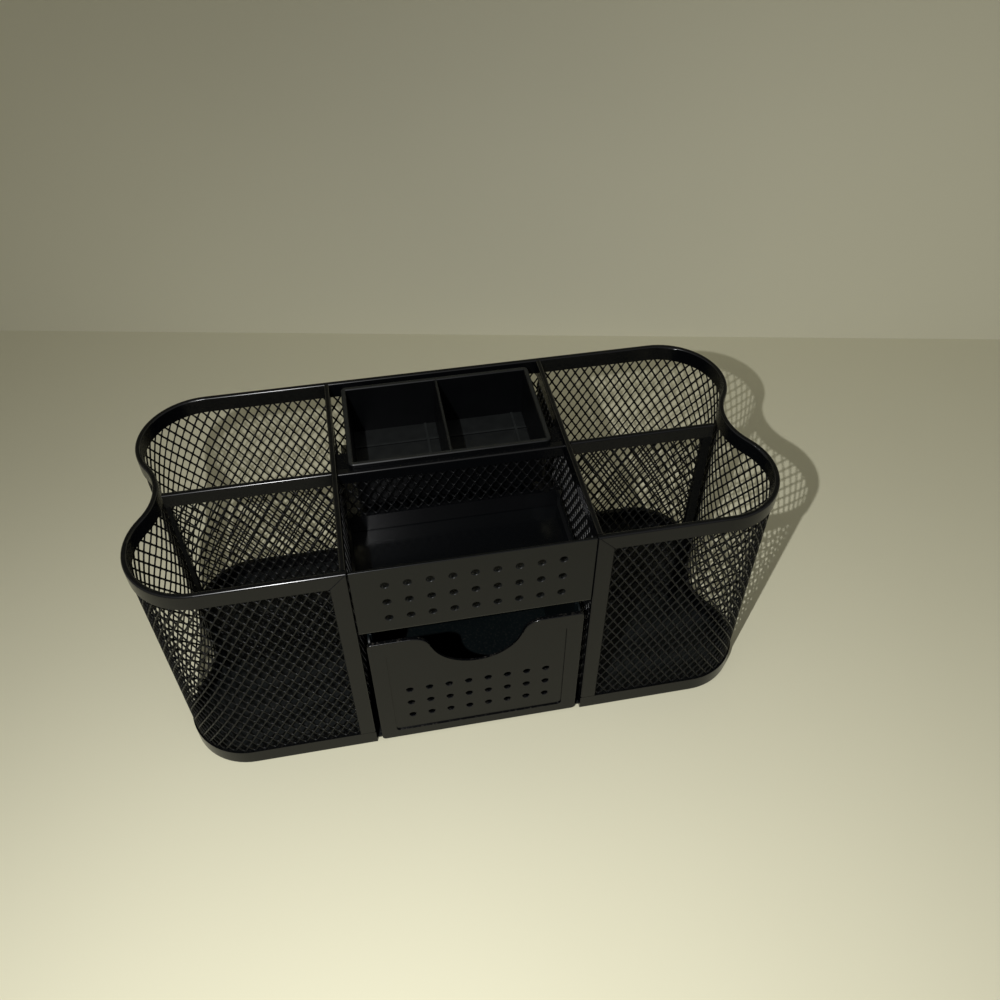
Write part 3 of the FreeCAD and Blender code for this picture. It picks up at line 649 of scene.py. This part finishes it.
@dataclass
class MeshStock:
    """Expanded steel mesh: diamonds taller than they are wide."""

    pitch_width: float = 3.92 * MILLIMETRE
    pitch_height: float = 6.45 * MILLIMETRE
    strand: float = 0.68 * MILLIMETRE
    thickness: float = 0.50 * MILLIMETRE
    blunting: float = 0.05
    lean: float = 0.28 * MILLIMETRE
    tuck: float = 0.3 * MILLIMETRE
    tree: LatticeTree = field(default_factory=LatticeTree)

    def fitted(self, clear: float, pitch: float, tucked_ends: int) -> tuple[int, float]:
        """How many cells fill a length.

        Args:
            clear: The length that shows.
            pitch: The wished size of a cell.
            tucked_ends: How many ends run half a cell deeper into a strip.

        Returns:
            The number of cells and their size.
        """
        length = clear + 2 * self.tuck
        cells = length / pitch + 0.5 * tucked_ends
        count = round(cells)
        return count, length / (count - 0.5 * tucked_ends)

    def opening(self, width: float, height: float) -> float:
        """The hole's size as a share of its cell's."""
        half_gap = width * height / (2 * math.hypot(width, height))
        return 1.0 - self.strand / 2 / half_gap


def in_scene(made: bpy.types.Object) -> bpy.types.Object:
    """An object, once it is put in the scene."""
    bpy.context.scene.collection.objects.link(made)
    return made


def path_curve(name: str, spots: list[Spot]) -> bpy.types.Object:
    """Draw a path on the ground.

    Args:
        name: Its name.
        spots: The spots that it runs through, seen from above.

    Returns:
        The path.
    """
    data = bpy.data.curves.new(name, "CURVE")
    data.dimensions = "3D"
    spline = data.splines.new("POLY")
    spline.points.add(len(spots) - 1)
    for point, (x, y) in zip(spline.points, spots):
        point.co = (x, y, 0.0, 1.0)
    return in_scene(bpy.data.objects.new(name, data))


def path_length(spots: list[Spot]) -> float:
    """The length of a path through spots."""
    return sum(math.dist(a, b) for a, b in zip(spots, spots[1:]))


@dataclass
class MeshSheet:
    """One sheet of mesh that stands on a path and stands for a plain sheet of the frame.

    Its lean and its thickness are given as shares of its stock's.
    """

    node: str
    clear_path: list[Spot]
    clear_low: float
    clear_high: float
    tuck_start: bool = False
    tuck_end: bool = False
    tuck_low: bool = True
    tuck_high: bool = True
    lean: float = 0.0
    thicker: float = 1.0

    def build(self, stock: MeshStock, finish: Finish) -> bpy.types.Object:
        """Build the sheet.

        Args:
            stock: The mesh that it is cut from.
            finish: Its coat.

        Returns:
            The finished piece.
        """
        columns, width = stock.fitted(path_length(self.clear_path), stock.pitch_width,
                                      self.tuck_start + self.tuck_end)
        rows, height = stock.fitted(self.clear_high - self.clear_low, stock.pitch_height,
                                    self.tuck_low + self.tuck_high)
        low = self.clear_low - stock.tuck - height / 2 * self.tuck_low
        path = path_curve(self.node + "_path", self._reach(stock.tuck, width))
        carrier = in_scene(bpy.data.objects.new(self.node + "_carrier",
                                                bpy.data.meshes.new(self.node + "_carrier")))
        modifier = carrier.modifiers.new("expanded_mesh", "NODES")
        modifier.node_group = stock.tree.group
        values = {
            "Path": path, "Columns": columns, "Rows": rows, "Cell Width": width, "Cell Height": height,
            "Opening": stock.opening(width, height), "Blunting": stock.blunting,
            "Thickness": stock.thickness * self.thicker, "Lean": stock.lean * self.lean,
            "Middle Height": low + rows * height / 2, "Finish": finish.build(),
        }
        for name, value in values.items():
            modifier[stock.tree.sockets[name]] = value
        piece = self._plain_piece(carrier, finish)
        bpy.data.objects.remove(path)
        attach(piece, Body.STAND.value)
        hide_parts(self.node)
        log.info("%s: %d by %d cells of %.2f x %.2f mm, %d faces", piece.name, columns, rows,
                 width / MILLIMETRE, height / MILLIMETRE, len(piece.data.polygons))
        return piece

    def _reach(self, tuck: float, width: float) -> list[Spot]:
        """The clear path, lengthened at both ends to what the sheet needs.

        Args:
            tuck: How far each end runs into a strip.
            width: The width of a cell, half of which a tucked end runs deeper.

        Returns:
            The spots along the longer path.
        """
        spots = [Vector(spot) for spot in self.clear_path]
        first = (spots[0] - spots[1]).normalized() * (tuck + width / 2 * self.tuck_start)
        last = (spots[-1] - spots[-2]).normalized() * (tuck + width / 2 * self.tuck_end)
        return [tuple(spots[0] + first)] + self.clear_path[1:-1] + [tuple(spots[-1] + last)]

    def _plain_piece(self, carrier: bpy.types.Object, finish: Finish) -> bpy.types.Object:
        """Turn the tree's result into a plain closed mesh with its faces outwards.

        Args:
            carrier: The object that carries the tree, which is removed.
            finish: The piece's coat.

        Returns:
            The piece, with no modifier.
        """
        evaluated = carrier.evaluated_get(bpy.context.evaluated_depsgraph_get())
        data = bpy.data.meshes.new_from_object(evaluated)
        bpy.data.objects.remove(carrier)
        shape = bmesh.new()
        shape.from_mesh(data)
        bmesh.ops.recalc_face_normals(shape, faces=shape.faces)
        shape.to_mesh(data)
        shape.free()
        for attribute in [a.name for a in data.attributes if a.name in ("tip", "side")]:
            data.attributes.remove(data.attributes[attribute])
        data.materials.clear()
        data.materials.append(finish.build())
        return in_scene(bpy.data.objects.new(self.node + "_strands", data))


@dataclass
class Outline:
    """The stand's outline seen from above: straight front and back, round corners, a dip in each end."""

    half_width: float
    half_depth: float
    corner_radius: float = 24.0 * MILLIMETRE
    dip_depth: float = 8.0 * MILLIMETRE
    arc_step: float = math.radians(3.0)

    def arc(self, centre: Spot, radius: float, start: float, end: float) -> list[Spot]:
        """Spots along an arc.

        Args:
            centre: The arc's centre.
            radius: Its radius.
            start: The angle where it starts.
            end: The angle where it ends.

        Returns:
            The spots, with both ends.
        """
        steps = max(2, math.ceil(abs(end - start) / self.arc_step))
        angles = [start + (end - start) * n / steps for n in range(steps + 1)]
        return [(centre[0] + radius * math.cos(a), centre[1] + radius * math.sin(a)) for a in angles]

    def around(self, inset: float, x_end: float) -> list[Spot]:
        """The way from the bay's right side round the right end, the back and the left end.

        Args:
            inset: How far inside the outer face the way runs.
            x_end: Where it starts and ends, from the middle of the bay.

        Returns:
            The spots along the way.
        """
        corner_x = self.half_width - self.corner_radius
        corner_y = self.half_depth - self.corner_radius
        reach = (self.dip_depth ** 2 + corner_y ** 2) / (2 * self.dip_depth)
        turn = math.asin(corner_y / reach)
        dip_radius = reach - self.corner_radius + inset
        dip_x = self.half_width - self.dip_depth + reach - self.corner_radius
        radius = self.corner_radius - inset
        right = (
            self.arc((corner_x, -corner_y), radius, -math.pi / 2, turn)
            + self.arc((dip_x, 0.0), dip_radius, math.pi + turn, math.pi - turn)[1:-1]
            + self.arc((corner_x, corner_y), radius, -turn, math.pi / 2)
        )
        left = [(-x, y) for x, y in reversed(right)]
        front = -self.half_depth + inset
        return [(x_end, front)] + right + left + [(-x_end, front)]


@dataclass(frozen=True)
class Coats:
    """The coats that the baskets and the bay share."""

    strip: PowderCoat = PowderCoat("satin_black_strip")
    dull: PowderCoat = PowderCoat("matt_black_strip", specular=0.06, rubbed_edges=0.0)
    mesh: PowderCoat = PowderCoat("satin_black_mesh", colour=(0.0024, 0.0027, 0.0030),
                                  lighter=(0.0040, 0.0043, 0.0046), roughness=0.35,
                                  peel_size=0.4 * MILLIMETRE, dust_amount=0.0, rubbed_edges=0.0)


@dataclass
class Baskets:
    """The mesh wall with its two rims, the dividers and the floor."""

    stock: MeshStock
    coats: Coats
    wall_thicker: float = 1.45
    # The basket floor gets a lighter copy of the black powder coat: its lighter tone is painted light that
    # lifts the shade inside the baskets, and the grains on its top are dust.
    floor_coat: PowderCoat = PowderCoat("dusty_black_floor_painted_light", colour=(0.0058, 0.0070, 0.0074),
                                        lighter=(0.0100, 0.0115, 0.0117), roughness=0.36,
                                        dust_amount=0.20, rubbed_edges=0.0)

    def build(self) -> None:
        """Build the mesh of the wall and the dividers, and dress the strips and the floor."""
        low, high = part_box("top_rim")
        base_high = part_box("bottom_rim")[1].z
        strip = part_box("left_panel_band")[1].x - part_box("left_panel_band")[0].x
        wall = Outline(high.x, high.y).around(strip / 2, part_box("right_post")[1].x)
        MeshSheet("outer_mesh", wall, base_high, low.z, tuck_start=True, tuck_end=True,
                  thicker=self.wall_thicker).build(self.stock, self.coats.mesh)
        for side in Side:
            self.build_divider(side)
        dress(self.coats.strip, "top_rim", "bottom_rim")
        dress(self.floor_coat, "base_plate")

    def build_divider(self, side: Side) -> None:
        """Build one divider's mesh, from the side panel to its end strip, and dress the strips by it.

        Args:
            side: The side that it is on.
        """
        name = side.value + "_divider_mesh"
        low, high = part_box(name)
        y = (low.y + high.y) / 2
        MeshSheet(name, [(low.x, y), (high.x, y)], low.z, high.z, tuck_start=side is Side.LEFT,
                  tuck_end=side is Side.RIGHT, tuck_low=False).build(self.stock, self.coats.mesh)
        dress(self.coats.strip, side.value + "_post", side.value + "_divider_band")
        dress(self.coats.dull, side.value + "_divider_end")


@dataclass
class Bay:
    """The middle bay: its mesh sides, the partition and the bent shelf sheet.

    The foot of the partition is rubbed glossy above a matt band along its bottom, which is painted shade for
    the gap at the shelf, and the shelf behind its hidden front.
    """

    stock: MeshStock
    coats: Coats
    panel_lean: float = 1.0
    gap_shade_height: float = 0.4 * MILLIMETRE
    hidden_shelf: float = 13.0 * MILLIMETRE
    panel_coat: PowderCoat = PowderCoat("rubbed_black_mesh", roughness=0.50, dust_amount=0.0,
                                        gloss_index=3.0)

    def build(self) -> None:
        """Build the mesh of the sides and the partition, and dress the strips and the shelf."""
        for side in Side:
            self.build_panel(side)
        low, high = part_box("partition_mesh")
        y = (low.y + high.y) / 2
        MeshSheet("partition_mesh", [(low.x, y), (high.x, y)], low.z, high.z).build(
            self.stock, self.coats.mesh)
        dress(self.coats.strip, "partition_band")
        # The bottom band of the foot's front stays matt: painted shade for the dark gap where the foot meets
        # the shelf.
        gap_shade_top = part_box("partition_foot")[0].z + self.gap_shade_height
        dress(PowderCoat("rubbed_black_foot", rubbed_front=1.0, front_rubbed_from=gap_shade_top),
              "partition_foot")
        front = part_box("shelf_panel")[0].y
        # The shelf gets a darker copy of the black powder coat: painted shade, for the shelf that lies in
        # shade behind the front panel.
        shaded_shelf_coat = PowderCoat("rubbed_black_shelf_painted_shade", colour=(0.0010, 0.0014, 0.0018),
                                lighter=(0.0018, 0.0023, 0.0028), dust_amount=0.01, rubbed_top=1.0,
                                top_rubbed_over=(front + self.hidden_shelf, front + 2 * self.hidden_shelf),
                                side_roughness=0.6)
        dress(shaded_shelf_coat, "shelf_panel")

    def build_panel(self, side: Side) -> None:
        """Build one side panel's mesh, and dress its strips and lugs.

        Args:
            side: The side that it is on.
        """
        name = side.value + "_panel_mesh"
        low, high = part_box(name)
        x = (low.x + high.x) / 2
        MeshSheet(name, [(x, low.y), (x, high.y)], low.z, high.z, lean=self.panel_lean).build(
            self.stock, self.panel_coat)
        dress(self.coats.strip, side.value + "_panel_band")
        dress(self.coats.dull, side.value + "_panel_foot", side.value + "_front_lug",
              side.value + "_rear_lug")


@dataclass
class Drawer:
    """The drawer: its pressed face and the folded box behind it."""

    face_coat: PowderCoat = PowderCoat("rubbed_black_face", dust_amount=0.3, rubbed_top=0.8)
    box_coat: PowderCoat = PowderCoat("dusty_black_box", colour=(0.0022, 0.0039, 0.0044),
                                      lighter=(0.0038, 0.0062, 0.0068), roughness=0.36,
                                      dust_amount=0.10, rubbed_edges=0.0)

    def build(self) -> None:
        """Dress both sheets, the face with its top edges rubbed and the box a little dusty."""
        dress(self.face_coat, "drawer_front")
        dress(self.box_coat, "drawer_box")


@dataclass
class Tray:
    """The loose tray, moulded in one piece."""

    floor_thickness: float = 1.0 * MILLIMETRE
    rib_height: float = 0.4 * MILLIMETRE

    def build(self) -> None:
        """Dress the moulding, with the tops of its ribs lighter than its floor."""
        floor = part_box("pen_tray")[0].z + self.floor_thickness
        plastic = MouldedPlastic("black_moulded_plastic", rib_band_from=floor + self.rib_height / 2,
                                 rib_band_to=floor + self.rib_height * 2)
        dress(plastic, "pen_tray")


def dress(finish: Finish, *nodes: str) -> None:
    """Give nodes of the frame a finish.

    Args:
        finish: What they get.
        *nodes: Their names.
    """
    for name in nodes:
        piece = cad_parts[name]
        piece.data.materials.clear()
        piece.data.materials.append(finish.build())
        log.info("%s: %s", name, finish.name)


@dataclass
class Studio:
    """A pale ground with a wall behind it, a small lamp, even light all round, and the camera."""

    ground_size: float = 3.0
    ground_cloth: PaleCloth = PaleCloth("ground_cloth", (0.745, 0.72, 0.535), (0.705, 0.68, 0.50))
    wall_distance: float = 0.22
    wall_turn: float = math.radians(11.6)
    wall_height: float = 1.2
    wall_slant: float = 0.25
    wall_cloth: PaleCloth = PaleCloth("wall_cloth", (0.77, 0.75, 0.58), (0.73, 0.71, 0.545))
    lamp_place: Place = (-0.105, -0.270, 0.370)
    lamp_target: Place = (0.03, -0.325, 0.0)
    lamp_radius: float = 2.0 * MILLIMETRE
    lamp_power: float = 7.0
    air_colour: Colour = (1.0, 0.98, 0.94)
    air_strength: float = 0.21
    camera_place: Place = (-0.02747, -0.23926, 0.32636)
    camera_pitch: float = math.radians(45.704)
    camera_yaw: float = math.radians(10.689)
    camera_roll: float = math.radians(0.026)
    camera_clip: float = 10.0 * MILLIMETRE
    focal_pixels: float = 903.96
    image_pixels: float = 1000.0
    sensor: float = 36.0

    def build(self) -> None:
        """Set up the ground, the lamp, the world and the camera."""
        self.build_ground()
        self.build_lamp()
        self.build_world()
        self.build_camera()

    def build_ground(self) -> None:
        """The ground and the wall."""
        half = self.ground_size / 2
        foot, top = self.wall_distance, self.wall_distance + self.wall_slant
        ground = self.plane("ground", self.ground_cloth, [
            (-half, -half, 0), (half, -half, 0), (half, half, 0), (-half, half, 0)])
        wall = self.plane("wall", self.wall_cloth, [
            (-half, foot, 0), (half, foot, 0), (half, top, self.wall_height), (-half, top, self.wall_height)])
        wall.data.transform(Matrix.Rotation(-self.wall_turn, 4, "Z"))

    def plane(self, name: str, finish: Finish, corners: list[Place]) -> bpy.types.Object:
        """A flat four-cornered piece of the stage.

        Args:
            name: Its name.
            finish: What it is dressed in.
            corners: Its corners, in turn.

        Returns:
            The piece.
        """
        data = bpy.data.meshes.new(name)
        data.from_pydata(corners, [], [(0, 1, 2, 3)])
        data.materials.append(finish.build())
        return in_scene(bpy.data.objects.new(name, data))

    def build_lamp(self) -> None:
        """The one lamp, which looks at a target, with light that fades to its sides."""
        data = bpy.data.lights.new("key_lamp", "SPOT")
        data.spot_size = math.pi
        data.spot_blend = 1.0
        data.shadow_soft_size = self.lamp_radius
        data.energy = self.lamp_power
        lamp = in_scene(bpy.data.objects.new("key_lamp", data))
        lamp.location = self.lamp_place
        aim = Vector(self.lamp_target) - Vector(self.lamp_place)
        lamp.rotation_euler = aim.to_track_quat("-Z", "Y").to_euler()

    def build_world(self) -> None:
        """Even, slightly warm light from all round."""
        world = bpy.data.worlds.new("studio_air")
        world.use_nodes = True
        board = Board(world.node_tree)
        light = board.node("ShaderNodeBackground", None,
                           {"Color": (*self.air_colour, 1.0), "Strength": self.air_strength})
        board.node("ShaderNodeOutputWorld", None, {"Surface": light})
        bpy.context.scene.world = world

    def build_camera(self) -> None:
        """The camera, in front of the stand and a little to its left, looking down."""
        pitch, yaw = self.camera_pitch, self.camera_yaw
        forward = Vector((math.sin(yaw) * math.cos(pitch), math.cos(yaw) * math.cos(pitch), -math.sin(pitch)))
        level_right = Vector((math.cos(yaw), -math.sin(yaw), 0.0))
        right = Matrix.Rotation(self.camera_roll, 3, forward) @ level_right
        upward = right.cross(forward)
        data = bpy.data.cameras.new("camera")
        data.sensor_width = self.sensor
        data.lens = self.focal_pixels / self.image_pixels * self.sensor
        data.clip_start = self.camera_clip
        camera = in_scene(bpy.data.objects.new("camera", data))
        turn = Matrix((right, upward, -forward)).transposed().to_4x4()
        camera.matrix_world = Matrix.Translation(self.camera_place) @ turn
        bpy.context.scene.camera = camera


def main() -> None:
    """Build the pen stand's looks and the studio around it."""
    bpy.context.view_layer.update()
    Studio().build()
    coats = Coats()
    stock = MeshStock()
    Baskets(stock, coats).build()
    Bay(stock, coats).build()
    Drawer().build()
    Tray().build()
    bpy.context.scene.view_settings.view_transform = "Standard"


if __name__ == "__main__":
    main()
